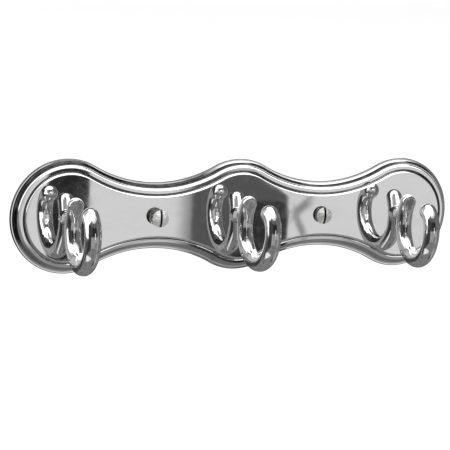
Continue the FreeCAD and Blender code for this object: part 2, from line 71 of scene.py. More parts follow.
LIP_THICKNESS = 1.3
LIP_WIDTH = 1.0
LIP_ROUND = 0.5
COVE_RADIUS = 2.8
COVE_START = 25.0
BEAD_RADIUS = 1.6
BEAD_FLAT = 1.2
QUIRK_RADIUS = 0.9
QUIRK_TURN = 75.0
FIELD_INSET = 6.4
FIELD_HEIGHT = 6.5
FIELD_ROUND = 1.1
CAVITY_INSET = 4.5
CAVITY_DEPTH = 3.2
CAVITY_ROUND = 0.4
WALL_HOLE_RADIUS = 2.5
WALL_SINK_RADIUS = 4.5
WALL_BOSS_RADIUS = 7.0
HOOK_HOLE_RADIUS = 2.2

# how far each hook is turned about the upright, in degrees
HOOK_TURNS = {"left": -1.7, "centre": 1.5, "right": -3.0}
ROD_RADIUS = 4.25
BEND_RADIUS = 17.5
BEND_REACH = 22.4
BEND_DROP = 3.2
BACK_RADIUS = 20.2
BACK_TURN = 33.4
FRONT_LIFT = 8.4
TIP_RADIUS = 10.2
TIP_TURN = 58.8
KNOB_RADIUS = 4.45
KNOB_RUN = 5.0
# centres of the rod's large bend and of its back leg, as (y, z)
BEND_CENTRE = (-(FIELD_HEIGHT + BEND_REACH), -BEND_DROP)
BACK_CENTRE = (BEND_CENTRE[0] + BEND_RADIUS - BACK_RADIUS, BEND_CENTRE[1])
# two points of the flat ground on the back leg: how far out from the field, how high
FLAT_LOW = (10.0, 2.0)
FLAT_TOP = (11.2, 14.0)
FLAT_EDGE = 0.5
HOOK_BOSS_RADIUS = 4.9
HOOK_BOSS_LENGTH = 5.0
# the boss's broken edges: how far along from its end, how far in from its radius
BOSS_BREAK = ((0.0, 0.25), (0.08, 0.07), (0.25, 0.0))
TAPPED_RADIUS = 2.05
TAPPED_DEPTH = 5.6

SLOT_WIDTH = 1.2
BROKEN_EDGE = 0.12
# how far a cutting tool reaches past what it cuts
TOOL_SPARE = 1.0

# wall screws: how far each head's rim stands off the field, radii, then lengths from the head's rim
SCREW_STAND_OFF = {"left": 4.8, "right": 2.4}
SCREW_HEAD = 4.45
SCREW_SHANK = 2.0
SCREW_CORE = 1.6
SCREW_CREST = 2.25
SCREW_DOME = 1.5
SCREW_RIM = 0.12
SCREW_CONE = 2.2
SCREW_SHANK_END = 11.4
SCREW_RUN_IN = 0.6
SCREW_LENGTH = 40.0
SCREW_POINT = 6.0
SCREW_PITCH = 1.8

# hook screws: radii, then lengths from the head's underside
BOLT_HEAD = 3.9
BOLT_CORE = 1.62
BOLT_CREST = 2.0
BOLT_HEAD_HEIGHT = 2.2
BOLT_SLOT_DEPTH = 1.0
BOLT_RUN_IN = 0.3
BOLT_LENGTH = 8.0
BOLT_POINT = 0.6
BOLT_PITCH = 0.7
# the head's rounded edge: how far down from its top, how far in from its radius
BOLT_ROUND = ((0.0, 0.5), (0.12, 0.15), (0.45, 0.0))

WASHER_RADIUS = 4.3
WASHER_BORE = 2.15
WASHER_THICKNESS = 0.8

# ---- how the meshes are made

# a thread's tooth: its half width as a share of the pitch, how steep its flanks are, and how much of the
# thread is left at its very end
TOOTH_HALF_WIDTH = 0.36
TOOTH_STEEPNESS = 1.25
THREAD_END_SHARE = 0.06

# how finely the round things are divided: points round them and steps along them
ROD_COUNT = 96
BACK_STEPS = 44
BEND_STEPS = 64
TIP_STEPS = 20
CAP_STEPS = 16
TAPPED_COUNT = 64
SCREW_COUNT = 48
SCREW_DOME_STEPS = 14
SCREW_STEPS_PER_PITCH = 12
BOLT_COUNT = 40
BOLT_STEPS_PER_PITCH = 8
WASHER_COUNT = 64
# halvings in the search for a point's place on the ground flat
HALVINGS = 24

# edges sharper than this stay sharp, in degrees
HOOK_SMOOTHING = 35
FIXING_SMOOTHING = 30

# painted shade on the rim, standing in for shade and darker reflections in its hollows and along its edges:
# how far in from the plate's edge a band of it begins and ends, then how much of the shine it takes on the
# left half, the right half, the right-hand end and the lower edge
PAINTED_SHADE_BANDS = (
    (-1.0, 0.4, 0.93, 0.88, 0.85, 0.5),
    (0.4, 1.0, 0.0, 0.0, 0.7, 0.0),
    (1.0, 1.8, 0.975, 0.3, 0.6, 0.0),
    (1.8, 2.75, 0.98, 0.975, 0.6, 0.5),
    (2.7, 4.2, 0.0, 0.0, 0.0, 0.55),
    (4.2, 5.4, 0.0, 0.0, 0.0, 0.6),
    (5.4, 6.38, 0.9, 0.85, 0.85, 0.3),
    (6.38, 7.3, 0.0, 0.0, 0.85, 0.3),
)
BAND_EDGE = 0.08
# the inset given to everything inside the rim, beyond every band
INSIDE_RIM = 100.0
# where the right half and the right-hand end set in along X, and the lower edge below the middle, in metres
RIGHT_HALF = (-0.022, -0.006)
RIGHT_END = (0.085, 0.115)
LOWER_EDGE = (0.010, 0.017)


def mm(*values):
    """A vector from millimetres."""
    return Vector(values) * MM


def add_object(name, data):
    """A new object in the scene."""
    item = bpy.data.objects.new(name, data)
    bpy.context.scene.collection.objects.link(item)
    return item


# ---- meshes


class Shell:
    """Points with their insets from the plate's edge, and faces with the exact normal at every corner."""

    def __init__(self):
        self.points = []
        self.faces = []
        self.normals = []
        self.slots = []
        self.insets = []

    def add_points(self, points, inset):
        first = len(self.points)
        self.points.extend(points)
        self.insets.extend([inset] * len(points))
        return list(range(first, len(self.points)))

    def add_face(self, corners, normals, slot):
        self.faces.append(corners)
        self.normals.extend(normals)
        self.slots.append(slot)

    def mesh(self, name):
        mesh = bpy.data.meshes.new(name)
        mesh.from_pydata([p[:] for p in self.points], [], self.faces)
        mesh.polygons.foreach_set("material_index", self.slots)
        mesh.shade_smooth()
        mesh.normals_split_custom_set([n.normalized()[:] for n in self.normals])
        mesh.attributes.new("inset", "FLOAT", "POINT").data.foreach_set("value", self.insets)
        mesh.validate()
        return mesh


def add_piece(name, mesh, materials, slot_name, *replaced):
    """Put a mesh in the scene as a piece that stands for CAD nodes."""
    piece = add_object(name, mesh)
    for material in materials:
        mesh.materials.append(material)
    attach(piece, "root")
    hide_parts(*replaced)
    return piece


def arc_run(centre, radius, start, end, steps, hollow=False):
    """Section points (w, h) with their normals along an arc; a hollow arc's normals point inwards."""
    run = []
    for step in range(steps + 1):
        angle = math.radians(start + (end - start) * step / steps)
        out = (math.cos(angle), math.sin(angle))
        normal = (-out[0], -out[1]) if hollow else out
        run.append(((centre[0] + radius * out[0], centre[1] + radius * out[1]), normal))
    return run


def straight_run(start, end, steps=1):
    """Section points along a straight, whose normal is on the left of its direction."""
    dw, dh = end[0] - start[0], end[1] - start[1]
    length = math.hypot(dw, dh)
    normal = (-dh / length, dw / length)
    return [((start[0] + dw * k / steps, start[1] + dh * k / steps), normal) for k in range(steps + 1)]


def plate_outline():
    """Points round the plate's edge with their outward directions, anticlockwise from the front."""
    run = END_CENTRE - WAIST_CENTRE
    waist = (run ** 2 + WAIST_HEIGHT ** 2 - LOBE_RADIUS ** 2) / (2 * (LOBE_RADIUS - WAIST_HEIGHT))
    rise = CROWN_HEIGHT - WAIST_HEIGHT
    crown = (WAIST_CENTRE ** 2 + rise ** 2) / (2 * rise) - waist
    crown_low = CROWN_HEIGHT - crown
    hollow = (WAIST_CENTRE, WAIST_HEIGHT + waist)
    crown_turn = math.atan2(hollow[1] - crown_low, hollow[0])
    lobe_turn = math.atan2(hollow[1], hollow[0] - END_CENTRE)
    quarter = []

    def sweep(centre, radius, start, end, steps, sign):
        for step in range(steps):
            angle = start + (end - start) * step / steps
            out = (math.cos(angle), math.sin(angle))
            quarter.append(((centre[0] + radius * out[0], centre[1] + radius * out[1]),
                            (sign * out[0], sign * out[1])))

    sweep((0, crown_low), crown, math.pi / 2, crown_turn, steps=26, sign=1)
    sweep(hollow, waist, crown_turn + math.pi, lobe_turn + math.pi, steps=34, sign=-1)
    sweep((END_CENTRE, 0), LOBE_RADIUS, lobe_turn, 0, steps=64, sign=1)
    end = ((END_CENTRE + LOBE_RADIUS, 0), (1, 0))
    right = quarter + [end] + [flipped(item, 1, -1) for item in reversed(quarter)]
    around = right + [flipped(item, -1, 1) for item in reversed(right[1:-1])]
    return around[::-1]


def flipped(item, fx, fz):
    """A point of the outline and its direction, mirrored where a factor is -1."""
    (x, z), (ox, oz) = item
    return ((x * fx, z * fz), (ox * fx, oz * fz))


def circle_outline(x, z, radius, steps=64):
    """A round hole's edge, with directions that point away from its middle."""
    around = []
    for step in range(steps):
        angle = math.tau * step / steps
        out = (math.cos(angle), math.sin(angle))
        around.append(((x + radius * out[0], z + radius * out[1]), out))
    return around


def sweep_section(shell, outline, runs, slot, on_rim=False):
    """Sweep runs of section points round an outline; returns the first and last loops of points.

    w is measured inwards from the outline and h outwards from the wall. The points of the plate's own
    rim keep w, so that the material knows how far in from the edge it is.
    """
    loops, normals = [], []
    for run in runs:
        for index, ((w, h), normal) in enumerate(run):
            if index == 0 and loops:
                normals[-1] = (normals[-1][0], normal)
                continue
            points = [mm(x - w * ox, -h, z - w * oz) for (x, z), (ox, oz) in outline]
            loops.append(shell.add_points(points, w if on_rim else INSIDE_RIM))
            normals.append((normal, normal))
    count = len(outline)
    for k in range(len(loops) - 1):
        (_, start), (end, _) = normals[k], normals[k + 1]
        for i in range(count):
            j = (i + 1) % count
            corners = [loops[k][i], loops[k][j], loops[k + 1][j], loops[k + 1][i]]
            around = [(outline[i], start), (outline[j], start), (outline[j], end), (outline[i], end)]
            vectors = [Vector((-nw * o[0], -nh, -nw * o[1])) for (_, o), (nw, nh) in around]
            shell.add_face(corners, vectors, slot)
    return loops[0], loops[-1]


def fill_flat(shell, loops, normal, slot):
    """Fill the flat region inside the first loop and outside the others."""
    flat_loops = [[Vector((shell.points[i].x, shell.points[i].z, 0)) for i in loop] for loop in loops]
    index = [i for loop in loops for i in loop]
    for triangle in tessellate_polygon(flat_loops):
        corners = [index[k] for k in triangle]
        a, b, c = (shell.points[i] for i in corners)
        if (b - a).cross(c - a).dot(normal) < 0:
            corners.reverse()
        shell.add_face(corners, [normal] * 3, slot)


def front_section():
    """The moulded rim from the wall to the flat field: lip, cove, flat-topped bead, quirk, rounded edge."""
    slant = math.radians(COVE_START)
    cove = (LIP_WIDTH - COVE_RADIUS * math.sin(slant), LIP_THICKNESS + COVE_RADIUS * math.cos(slant))
    bead = (cove[0] + COVE_RADIUS + BEAD_RADIUS, cove[1])
    crest = bead[1] + BEAD_RADIUS
    quirk = (bead[0] + BEAD_FLAT, crest - QUIRK_RADIUS)
    valley = quirk[1] + QUIRK_RADIUS * math.cos(math.radians(QUIRK_TURN))
    quirk_foot = quirk[0] + QUIRK_RADIUS * math.sin(math.radians(QUIRK_TURN))
    shoulder = FIELD_HEIGHT - FIELD_ROUND
    return [
        straight_run((0, 0), (0, LIP_THICKNESS - LIP_ROUND)),
        arc_run((LIP_ROUND, LIP_THICKNESS - LIP_ROUND), LIP_ROUND, 180, 90, steps=8),
        straight_run((LIP_ROUND, LIP_THICKNESS), (LIP_WIDTH, LIP_THICKNESS)),
        arc_run(cove, COVE_RADIUS, COVE_START - 90, 0, steps=16, hollow=True),
        arc_run(bead, BEAD_RADIUS, 180, 90, steps=20),
        straight_run((bead[0], crest), (quirk[0], crest)),
        arc_run(quirk, QUIRK_RADIUS, 90, 90 - QUIRK_TURN, steps=14),
        straight_run((quirk_foot, valley), (FIELD_INSET, valley)),
        straight_run((FIELD_INSET, valley), (FIELD_INSET, shoulder)),
        arc_run((FIELD_INSET + FIELD_ROUND, shoulder), FIELD_ROUND, 180, 90, steps=12),
    ]


def cavity_section():
    """Side of the hollow behind the plate, from its flat bottom to the wall."""
    round_end = CAVITY_INSET + CAVITY_ROUND
    return [
        arc_run((round_end, CAVITY_DEPTH - CAVITY_ROUND), CAVITY_ROUND, 90, 180, steps=6, hollow=True),
        straight_run((CAVITY_INSET, CAVITY_DEPTH - CAVITY_ROUND), (CAVITY_INSET, 0)),
    ]


def make_plate(materials):
    """The plate: its rim, the flat field with the holes in it, and the hollow back."""
    shell = Shell()
    outline = plate_outline()
    polished, cast = 0, 1
    rim_back, rim_front = sweep_section(shell, outline, front_section(), polished, on_rim=True)
    front_loops, back_loops, seats = [rim_front], [], []
    for x in (-WAIST_CENTRE, WAIST_CENTRE):
        front, back, seat = wall_hole(shell, x, polished, cast)
        front_loops.append(front)
        back_loops.append(back)
        seats.append(seat)
    for side in SIDES:
        x = seat_x(side) / MM
        front, back = plain_hole(shell, x, cast)
        front_loops.append(front)
        back_loops.append(back)
    fill_flat(shell, front_loops, Vector((0, -1, 0)), polished)
    cavity_top, cavity_foot = sweep_section(shell, outline, cavity_section(), cast)
    join_flat(shell, cavity_foot, rim_back, cast)
    fill_flat(shell, [cavity_top] + back_loops, Vector((0, 1, 0)), cast)
    for outer, inner in seats:
        fill_flat(shell, [outer, inner], Vector((0, 1, 0)), cast)
    return add_piece("back_plate_casting", shell.mesh("back_plate_casting"), materials,
                     "plate_chrome", "back_plate")


def seat_x(side):
    """X of a hook's seat in metres; the washers behind the plate are centred on the seats."""
    low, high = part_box("hook_washers")
    pitch = (high.x - low.x) / 2 - WASHER_RADIUS * MM
    return (low.x + high.x) / 2 + pitch * (SIDES.index(side) - 1)


def join_flat(shell, inner, outer, slot):
    """A flat ring of faces in the wall plane between two loops of equal count."""
    count = len(outer)
    back = [Vector((0, 1, 0))] * 4
    for i in range(count):
        j = (i + 1) % count
        shell.add_face([inner[i], inner[j], outer[j], outer[i]], back, slot)


def wall_hole(shell, x, polished, cast):
    """Countersink, bore and boss of a wall-screw hole; returns its front and back loops and its seat."""
    edge = circle_outline(x, 0, WALL_SINK_RADIUS)
    depth = WALL_SINK_RADIUS - WALL_HOLE_RADIUS
    step = FIELD_HEIGHT - depth
    front, back = sweep_section(shell, edge, [
        straight_run((0, FIELD_HEIGHT), (depth, step)),
        straight_run((depth, step), (depth, 0)),
    ], polished)
    boss = circle_outline(x, 0, WALL_BOSS_RADIUS)
    foot, base = sweep_section(shell, boss, [
        straight_run((0, 0), (0, CAVITY_DEPTH)),
    ], cast)
    return front, base, (foot, back)


def plain_hole(shell, x, cast):
    """A hook screw's hole; returns its front and back loops."""
    edge = circle_outline(x, 0, HOOK_HOLE_RADIUS, steps=32)
    return sweep_section(shell, edge, [
        straight_run((0, FIELD_HEIGHT), (0, CAVITY_DEPTH)),
    ], cast)


def band(first, second, count):
    """Faces between two rings of count points that begin at these indices."""
    faces = []
    for i in range(count):
        j = (i + 1) % count
        faces.append((first + i, first + j, second + j, second + i))
    return faces


def tube(name, rings, start_pole, end_pole):
    """A closed mesh through rings of equal count, with a pole at each end."""
    mesh = bpy.data.meshes.new(name)
    points = [p for ring in rings for p in ring] + [start_pole, end_pole]
    count = len(rings[0])
    faces = []
    for k in range(len(rings) - 1):
        faces.extend(band(k * count, (k + 1) * count, count))
    first, last = len(points) - 2, len(points) - 1
    top = (len(rings) - 1) * count
    for i in range(count):
        j = (i + 1) % count
        faces.append((first, j, i))
        faces.append((last, top + i, top + j))
    mesh.from_pydata([p[:] for p in points], [], faces)
    face_outwards(mesh)
    return mesh


def face_outwards(mesh):
    """Turn every face of a closed mesh outwards."""
    solid = bmesh.new()
    solid.from_mesh(mesh)
    bmesh.ops.recalc_face_normals(solid, faces=solid.faces)
    solid.to_mesh(mesh)
    solid.free()


def combine(mesh, tool, operation):
    """Join another closed mesh to this one, or cut it away, and return the result."""
    body = add_object("body", mesh)
    other = add_object("tool", tool)
    modifier = body.modifiers.new("combine", "BOOLEAN")
    modifier.operation = operation
    modifier.solver = "EXACT"
    modifier.object = other
    bpy.context.view_layer.update()
    result = bpy.data.meshes.new_from_object(body.evaluated_get(bpy.context.evaluated_depsgraph_get()))
    for item in (body, other):
        bpy.data.objects.remove(item)
    return result


def smooth_by_angle(mesh, degrees):
    """Shade smooth, except across edges sharper than an angle."""
    mesh.shade_smooth()
    mesh.set_sharp_from_angle(angle=math.radians(degrees))


def hook_path():
    """Centre line of the rod from its top to its tip: y and z in mm, with the angle on their arc."""
    lift = math.radians(FRONT_LIFT)
    spare = BEND_RADIUS - TIP_RADIUS
    tip = (BEND_CENTRE[0] - spare * math.cos(lift), BEND_CENTRE[1] + spare * math.sin(lift))
    front = 180 - FRONT_LIFT
    arcs = (
        (BACK_CENTRE, BACK_RADIUS, BACK_TURN, 0, BACK_STEPS),
        (BEND_CENTRE, BEND_RADIUS, 360, front, BEND_STEPS),
        (tip, TIP_RADIUS, front, front - TIP_TURN, TIP_STEPS),
    )
    path = []
    for (cy, cz), radius, start, end, steps in arcs:
        for step in range(steps + 1):
            if path and step == 0:
                continue
            angle = math.radians(start + (end - start) * step / steps)
            path.append((cy + radius * math.cos(angle), cz + radius * math.sin(angle), angle))
    return path


def knob_radius(gap):
    """Rod radius at a distance before the tip's centre: it swells a little into the knob."""
    share = max(0.0, 1 - gap / KNOB_RUN)
    return ROD_RADIUS + (KNOB_RADIUS - ROD_RADIUS) * share * share * (3 - 2 * share)


def soft_max(a, b, width):
    """The larger of two numbers, with a rounded change-over."""
    overlap = max(width - abs(a - b), 0.0) / width
    return max(a, b) + width * overlap * overlap / 4


def flat_depth(y, z):
    """How far a point stands in front of the ground flat, in mm, and the flat's normal."""
    low = (-(FIELD_HEIGHT + FLAT_LOW[0]), FLAT_LOW[1])
    top = (-(FIELD_HEIGHT + FLAT_TOP[0]), FLAT_TOP[1])
    dy, dz = top[0] - low[0], top[1] - low[1]
    length = math.hypot(dy, dz)
    normal = (-dz / length, dy / length)
    return (y - low[0]) * normal[0] + (z - low[1]) * normal[1], normal


def rod_depth(x, y, z, top):
    """Signed distance from a point to the surface of the back leg and its cap, in mm."""
    cy, cz = BACK_CENTRE
    angle = math.atan2(z - cz, y - cy)
    if angle > math.radians(BACK_TURN):
        return math.sqrt(x * x + (y - top[0]) ** 2 + (z - top[1]) ** 2) - ROD_RADIUS
    return math.hypot(math.hypot(y - cy, z - cz) - BACK_RADIUS, x) - ROD_RADIUS


def ground_point(x, y, z, top):
    """Move a point of the back leg back to the ground flat, with a softly rounded edge."""
    depth, normal = flat_depth(y, z)
    if depth < -FLAT_EDGE or z < -BEND_DROP:
        return x, y, z
    near, far = 0.0, depth + FLAT_EDGE
    for _ in range(HALVINGS):
        middle = (near + far) / 2
        py, pz = y - middle * normal[0], z - middle * normal[1]
        if soft_max(rod_depth(x, py, pz, top), depth - middle, FLAT_EDGE) > 0:
            near = middle
        else:
            far = middle
    return x, y - near * normal[0], z - near * normal[1]


def ring_at(centre, across, radius, count):
    """Points round a centre in the plane of X and the across direction, in mm."""
    ring = []
    for step in range(count):
        turn = math.tau * step / count
        reach = radius * math.cos(turn)
        ring.append((radius * math.sin(turn), centre[0] + reach * across[0], centre[1] + reach * across[1]))
    return ring


def cap_rings(end, out, radius, lifts):
    """Rings of the domed cap at one end of the centre line, one for each angle of lift."""
    across = (math.cos(end[2]), math.sin(end[2]))
    rings = []
    for lift in lifts:
        centre = [end[k] + out[k] * radius * math.sin(lift) for k in (0, 1)]
        rings.append(ring_at(centre, across, radius * math.cos(lift), ROD_COUNT))
    return rings


def rod_radii(path):
    """Radius of the rod at every point of its centre line."""
    travelled = [0.0]
    for (y0, z0, _), (y1, z1, _) in zip(path, path[1:]):
        travelled.append(travelled[-1] + math.hypot(y1 - y0, z1 - z0))
    return [knob_radius(travelled[-1] - run) for run in travelled]


def rod_mesh():
    """A hook's bent rod with its domed ends and ground flat, in the plane X = 0."""
    path = hook_path()
    top, tip = path[0], path[-1]
    top_out = (-math.sin(top[2]), math.cos(top[2]))
    tip_out = (math.sin(tip[2]), -math.cos(tip[2]))
    steps = range(1, CAP_STEPS)
    rings = cap_rings(top, top_out, ROD_RADIUS, [math.pi / 2 * (1 - step / CAP_STEPS) for step in steps])
    for (y, z, angle), radius in zip(path, rod_radii(path)):
        rings.append(ring_at((y, z), (math.cos(angle), math.sin(angle)), radius, ROD_COUNT))
    rings.extend(cap_rings(tip, tip_out, KNOB_RADIUS, [math.pi / 2 * step / CAP_STEPS for step in steps]))
    ground = CAP_STEPS + BACK_STEPS
    rings[:ground] = [[ground_point(*p, top) for p in ring] for ring in rings[:ground]]
    solid_rings = [[mm(*p) for p in ring] for ring in rings]
    top_pole = ground_point(0, top[0] + top_out[0] * ROD_RADIUS, top[1] + top_out[1] * ROD_RADIUS, top)
    tip_pole = (0, tip[0] + tip_out[0] * KNOB_RADIUS, tip[1] + tip_out[1] * KNOB_RADIUS)
    return tube("hook_rod", solid_rings, mm(*top_pole), mm(*tip_pole))


def hook_boss():
    """Turned boss between the plate and the rod, its two edges slightly broken."""
    section = [(along, HOOK_BOSS_RADIUS - inset) for along, inset in BOSS_BREAK]
    section += [(HOOK_BOSS_LENGTH - along, HOOK_BOSS_RADIUS - inset) for along, inset in reversed(BOSS_BREAK)]
    rings = [ring_y(-(FIELD_HEIGHT + along), radius, ROD_COUNT) for along, radius in section]
    return tube("hook_boss", rings, mm(0, -FIELD_HEIGHT, 0), mm(0, -(FIELD_HEIGHT + HOOK_BOSS_LENGTH), 0))


def tapped_hole():
    """Cutter for the blind hole in the boss, starting a little behind its face."""
    start, end = TOOL_SPARE - FIELD_HEIGHT, -(FIELD_HEIGHT + TAPPED_DEPTH)
    rings = [ring_y(y, TAPPED_RADIUS, TAPPED_COUNT) for y in (start, end)]
    return tube("tapped_hole", rings, mm(0, start, 0), mm(0, end, 0))


def ring_y(y, radius, count):
    """A ring round the Y axis; its radius is a length in mm, or a function of the turn."""
    ring = []
    for step in range(count):
        turn = math.tau * step / count
        reach = radius(turn) if callable(radius) else radius
        ring.append(mm(reach * math.cos(turn), y, reach * math.sin(turn)))
    return ring


def make_hooks(material):
    """Three hooks, each rod turned a little about the upright line through its seat, as it was set."""
    rod = rod_mesh()
    seat = mm(0, -FIELD_HEIGHT, 0)
    pieces = []
    for side in SIDES:
        turned = rod.copy()
        turn = Matrix.Rotation(math.radians(HOOK_TURNS[side]), 4, "Z")
        turned.transform(Matrix.Translation(seat) @ turn @ Matrix.Translation(-seat))
        mesh = combine(combine(turned, hook_boss(), "UNION"), tapped_hole(), "DIFFERENCE")
        mesh.transform(Matrix.Translation((seat_x(side), 0, 0)))
        smooth_by_angle(mesh, HOOK_SMOOTHING)
        pieces.append(add_piece(f"hook_{side}_rod", mesh, [material], "hook_chrome", f"hook_{side}"))
    return pieces


def thread_radius(core, crest, pitch, along, turn):
    """Radius of a screw thread at a place along it and round it."""
    phase = (along / pitch + turn / math.tau) % 1.0
    tooth = max(0.0, 1 - abs(phase - 0.5) / TOOTH_HALF_WIDTH)
    return core + (crest - core) * min(1.0, tooth * TOOTH_STEEPNESS)


def threaded_rings(start, end, core, crest, pitch, taper_from, count, per_pitch):
    """Rings of a thread along Y; from taper_from on it runs down to a point."""
    rings = []
    steps = round((end - start) / pitch * per_pitch)
    for step in range(steps + 1):
        along = start + (end - start) * step / steps
        share = 1.0
        if along > taper_from:
            share = max(THREAD_END_SHARE, (end - along) / (end - taper_from))
        fade = min(1.0, (along - start) / pitch) * share

        def reach(turn, along=along, share=share, fade=fade):
            full = thread_radius(core, crest, pitch, along, turn)
            return core * share + (full - core) * fade
        rings.append(ring_y(along, reach, count))
    return rings


def slot_cutter(width, depth_low, depth_high, reach):
    """A box across a screw head, along Z, between two depths along Y."""
    corners = [mm(x, y, z) for x in (-width / 2, width / 2) for y in (depth_low, depth_high)
               for z in (-reach, reach)]
    mesh = bpy.data.meshes.new("slot")
    mesh.from_pydata([c[:] for c in corners], [], [
        (0, 1, 3, 2), (4, 6, 7, 5), (0, 4, 5, 1), (2, 3, 7, 6), (0, 2, 6, 4), (1, 5, 7, 3)])
    face_outwards(mesh)
    return mesh


def wall_screw_mesh():
    """Raised countersunk wood screw with its head's rim at y = 0 and its point along +Y."""
    ball = (SCREW_HEAD ** 2 + SCREW_DOME ** 2) / (2 * SCREW_DOME)
    profile = []
    for step in range(1, SCREW_DOME_STEPS + 1):
        reach = SCREW_HEAD * step / SCREW_DOME_STEPS
        profile.append((ball - SCREW_DOME - math.sqrt(ball ** 2 - reach ** 2), reach))
    profile.append((SCREW_RIM, SCREW_HEAD))
    for share in (0.5, 1.0):
        profile.append((SCREW_RIM + (SCREW_CONE - SCREW_RIM) * share,
                        SCREW_HEAD + (SCREW_SHANK - SCREW_HEAD) * share))
    profile.append((SCREW_SHANK_END - SCREW_RUN_IN, SCREW_SHANK))
    rings = [ring_y(y, radius, SCREW_COUNT) for y, radius in profile]
    rings.extend(threaded_rings(SCREW_SHANK_END, SCREW_LENGTH, SCREW_CORE, SCREW_CREST, SCREW_PITCH,
                                SCREW_LENGTH - SCREW_POINT, SCREW_COUNT, SCREW_STEPS_PER_PITCH))
    mesh = tube("wall_screw", rings, mm(0, -SCREW_DOME, 0), mm(0, SCREW_LENGTH, 0))
    cutter = slot_cutter(SLOT_WIDTH, -SCREW_DOME - TOOL_SPARE, 0.0, SCREW_HEAD + TOOL_SPARE)
    cut = combine(mesh, cutter, "DIFFERENCE")
    slack = 0.01
    # the slot and the cone under the head take the second material, which is painted shade
    for face in cut.polygons:
        place = face.center / MM
        in_slot = abs(place.x) < SLOT_WIDTH / 2 + slack and place.y < slack
        on_cone = SCREW_RIM < place.y < SCREW_CONE
        face.material_index = 1 if in_slot or on_cone else 0
    return cut


def make_wall_screws(materials):
    """The two wall screws, neither driven home; the second material, nearly black, is painted shade in the
    slot and on the cone under the head.
    """
    mesh = wall_screw_mesh()
    smooth_by_angle(mesh, FIXING_SMOOTHING)
    pieces = []
    for x, (side, stand_off) in zip((-WAIST_CENTRE, WAIST_CENTRE), SCREW_STAND_OFF.items()):
        copy = mesh.copy()
        copy.transform(Matrix.Translation(mm(x, -(FIELD_HEIGHT + stand_off), 0)))
        pieces.append(add_piece(f"wall_screw_{side}", copy, materials, "wall_screw_steel", "wall_screws"))
    return pieces


def hook_screw_mesh():
    """Slotted machine screw, its head's underside at y = 0 and its tip along -Y."""
    high = BOLT_HEAD_HEIGHT
    profile = [(high, BOLT_CREST)]
    profile += [(high - down, BOLT_HEAD - inset) for down, inset in BOLT_ROUND]
    profile += [(BROKEN_EDGE, BOLT_HEAD), (0.0, BOLT_HEAD - BROKEN_EDGE), (0.0, BOLT_CREST)]
    rings = [ring_y(y, radius, BOLT_COUNT) for y, radius in profile]
    shaft = threaded_rings(BOLT_RUN_IN, BOLT_LENGTH, BOLT_CORE, BOLT_CREST, BOLT_PITCH,
                           BOLT_LENGTH - BOLT_POINT, BOLT_COUNT, BOLT_STEPS_PER_PITCH)
    for ring in shaft:
        rings.append([Vector((p.x, -p.y, p.z)) for p in ring])
    mesh = tube("hook_screw", rings, mm(0, high, 0), mm(0, -BOLT_LENGTH, 0))
    cutter = slot_cutter(SLOT_WIDTH, high - BOLT_SLOT_DEPTH, high + TOOL_SPARE, BOLT_HEAD + TOOL_SPARE)
    return combine(mesh, cutter, "DIFFERENCE")


def washer_mesh():
    """Flat washer with broken edges, its back at y = 0 and its front towards -Y."""
    inside, outside = WASHER_BORE + BROKEN_EDGE, WASHER_RADIUS - BROKEN_EDGE
    front = WASHER_THICKNESS - BROKEN_EDGE
    section = [
        (WASHER_BORE, BROKEN_EDGE), (inside, 0), (outside, 0), (WASHER_RADIUS, BROKEN_EDGE),
        (WASHER_RADIUS, front), (outside, WASHER_THICKNESS), (inside, WASHER_THICKNESS), (WASHER_BORE, front),
    ]
    points, faces = [], []
    for k, (radius, depth) in enumerate(section):
        points.extend(ring_y(-depth, radius, WASHER_COUNT))
        after = (k + 1) % len(section)
        faces.extend(band(k * WASHER_COUNT, after * WASHER_COUNT, WASHER_COUNT))
    mesh = bpy.data.meshes.new("washer")
    mesh.from_pydata([p[:] for p in points], [], faces)
    face_outwards(mesh)
    return mesh


def make_hook_fixings(material):
    """A screw and a washer behind each hook; both meshes have y = 0 where the head meets the washer."""
    meeting = (WASHER_THICKNESS - CAVITY_DEPTH) * MM
    pieces = []
    for builder, name, slot_name, node in (
            (hook_screw_mesh, "hook_screw", "hook_screw_steel", "hook_screws"),
            (washer_mesh, "hook_washer", "washer_steel", "hook_washers")):
        mesh = builder()
        smooth_by_angle(mesh, FIXING_SMOOTHING)
        for side in SIDES:
            copy = mesh.copy()
            copy.transform(Matrix.Translation((seat_x(side), meeting, 0)))
            pieces.append(add_piece(f"{name}_{side}", copy, [material], slot_name, node))
    return pieces


# ---- node trees


class Tree:
    """A short way to write node trees: each call adds a node and returns the socket it gives."""

    def __init__(self, owner):
        owner.use_nodes = True
        self.tree = owner.node_tree
        self.tree.nodes.clear()

    def node(self, kind, inputs=(), **settings):
        node = self.tree.nodes.new(kind)
        for name, value in settings.items():
            setattr(node, name, value)
        for name, value in dict(inputs).items():
            self.feed(node.inputs[name], value)
        return node

    def feed(self, socket, value):
        if isinstance(value, bpy.types.NodeSocket):
            self.tree.links.new(value, socket)
        else:
            socket.default_value = value

    def math(self, operation, *values):
        node = self.node("ShaderNodeMath", operation=operation)
        for socket, value in zip(node.inputs, values):
            self.feed(socket, value)
        return node.outputs[0]

    def smooth(self, value, low, high, to_low=0.0, to_high=1.0):
        """Soft change from to_low to to_high while the value goes from low to high."""
        node = self.node("ShaderNodeMapRange", {"Value": value, "From Min": low, "From Max": high,
                                                "To Min": to_low, "To Max": to_high},
                         interpolation_type="SMOOTHSTEP")
        return node.outputs[0]

    def noise(self, vector, scale, detail, roughness):
        node = self.node("ShaderNodeTexNoise", {"Vector": vector, "Scale": scale, "Detail": detail,
                                                "Roughness": roughness})
        return node.outputs[0]

    def stretched(self, vector, scale):
        node = self.node("ShaderNodeMapping", {"Vector": vector, "Scale": scale})
        return node.outputs[0]

    def mix_colour(self, factor, a, b):
        """Mix two colours; 6, 7 and 2 are the places of a Mix node's sockets for colour."""
        node = self.node("ShaderNodeMix", data_type="RGBA")
        for socket, value in ((node.inputs[0], factor), (node.inputs[6], a), (node.inputs[7], b)):
            self.feed(socket, value)
        return node.outputs[2]


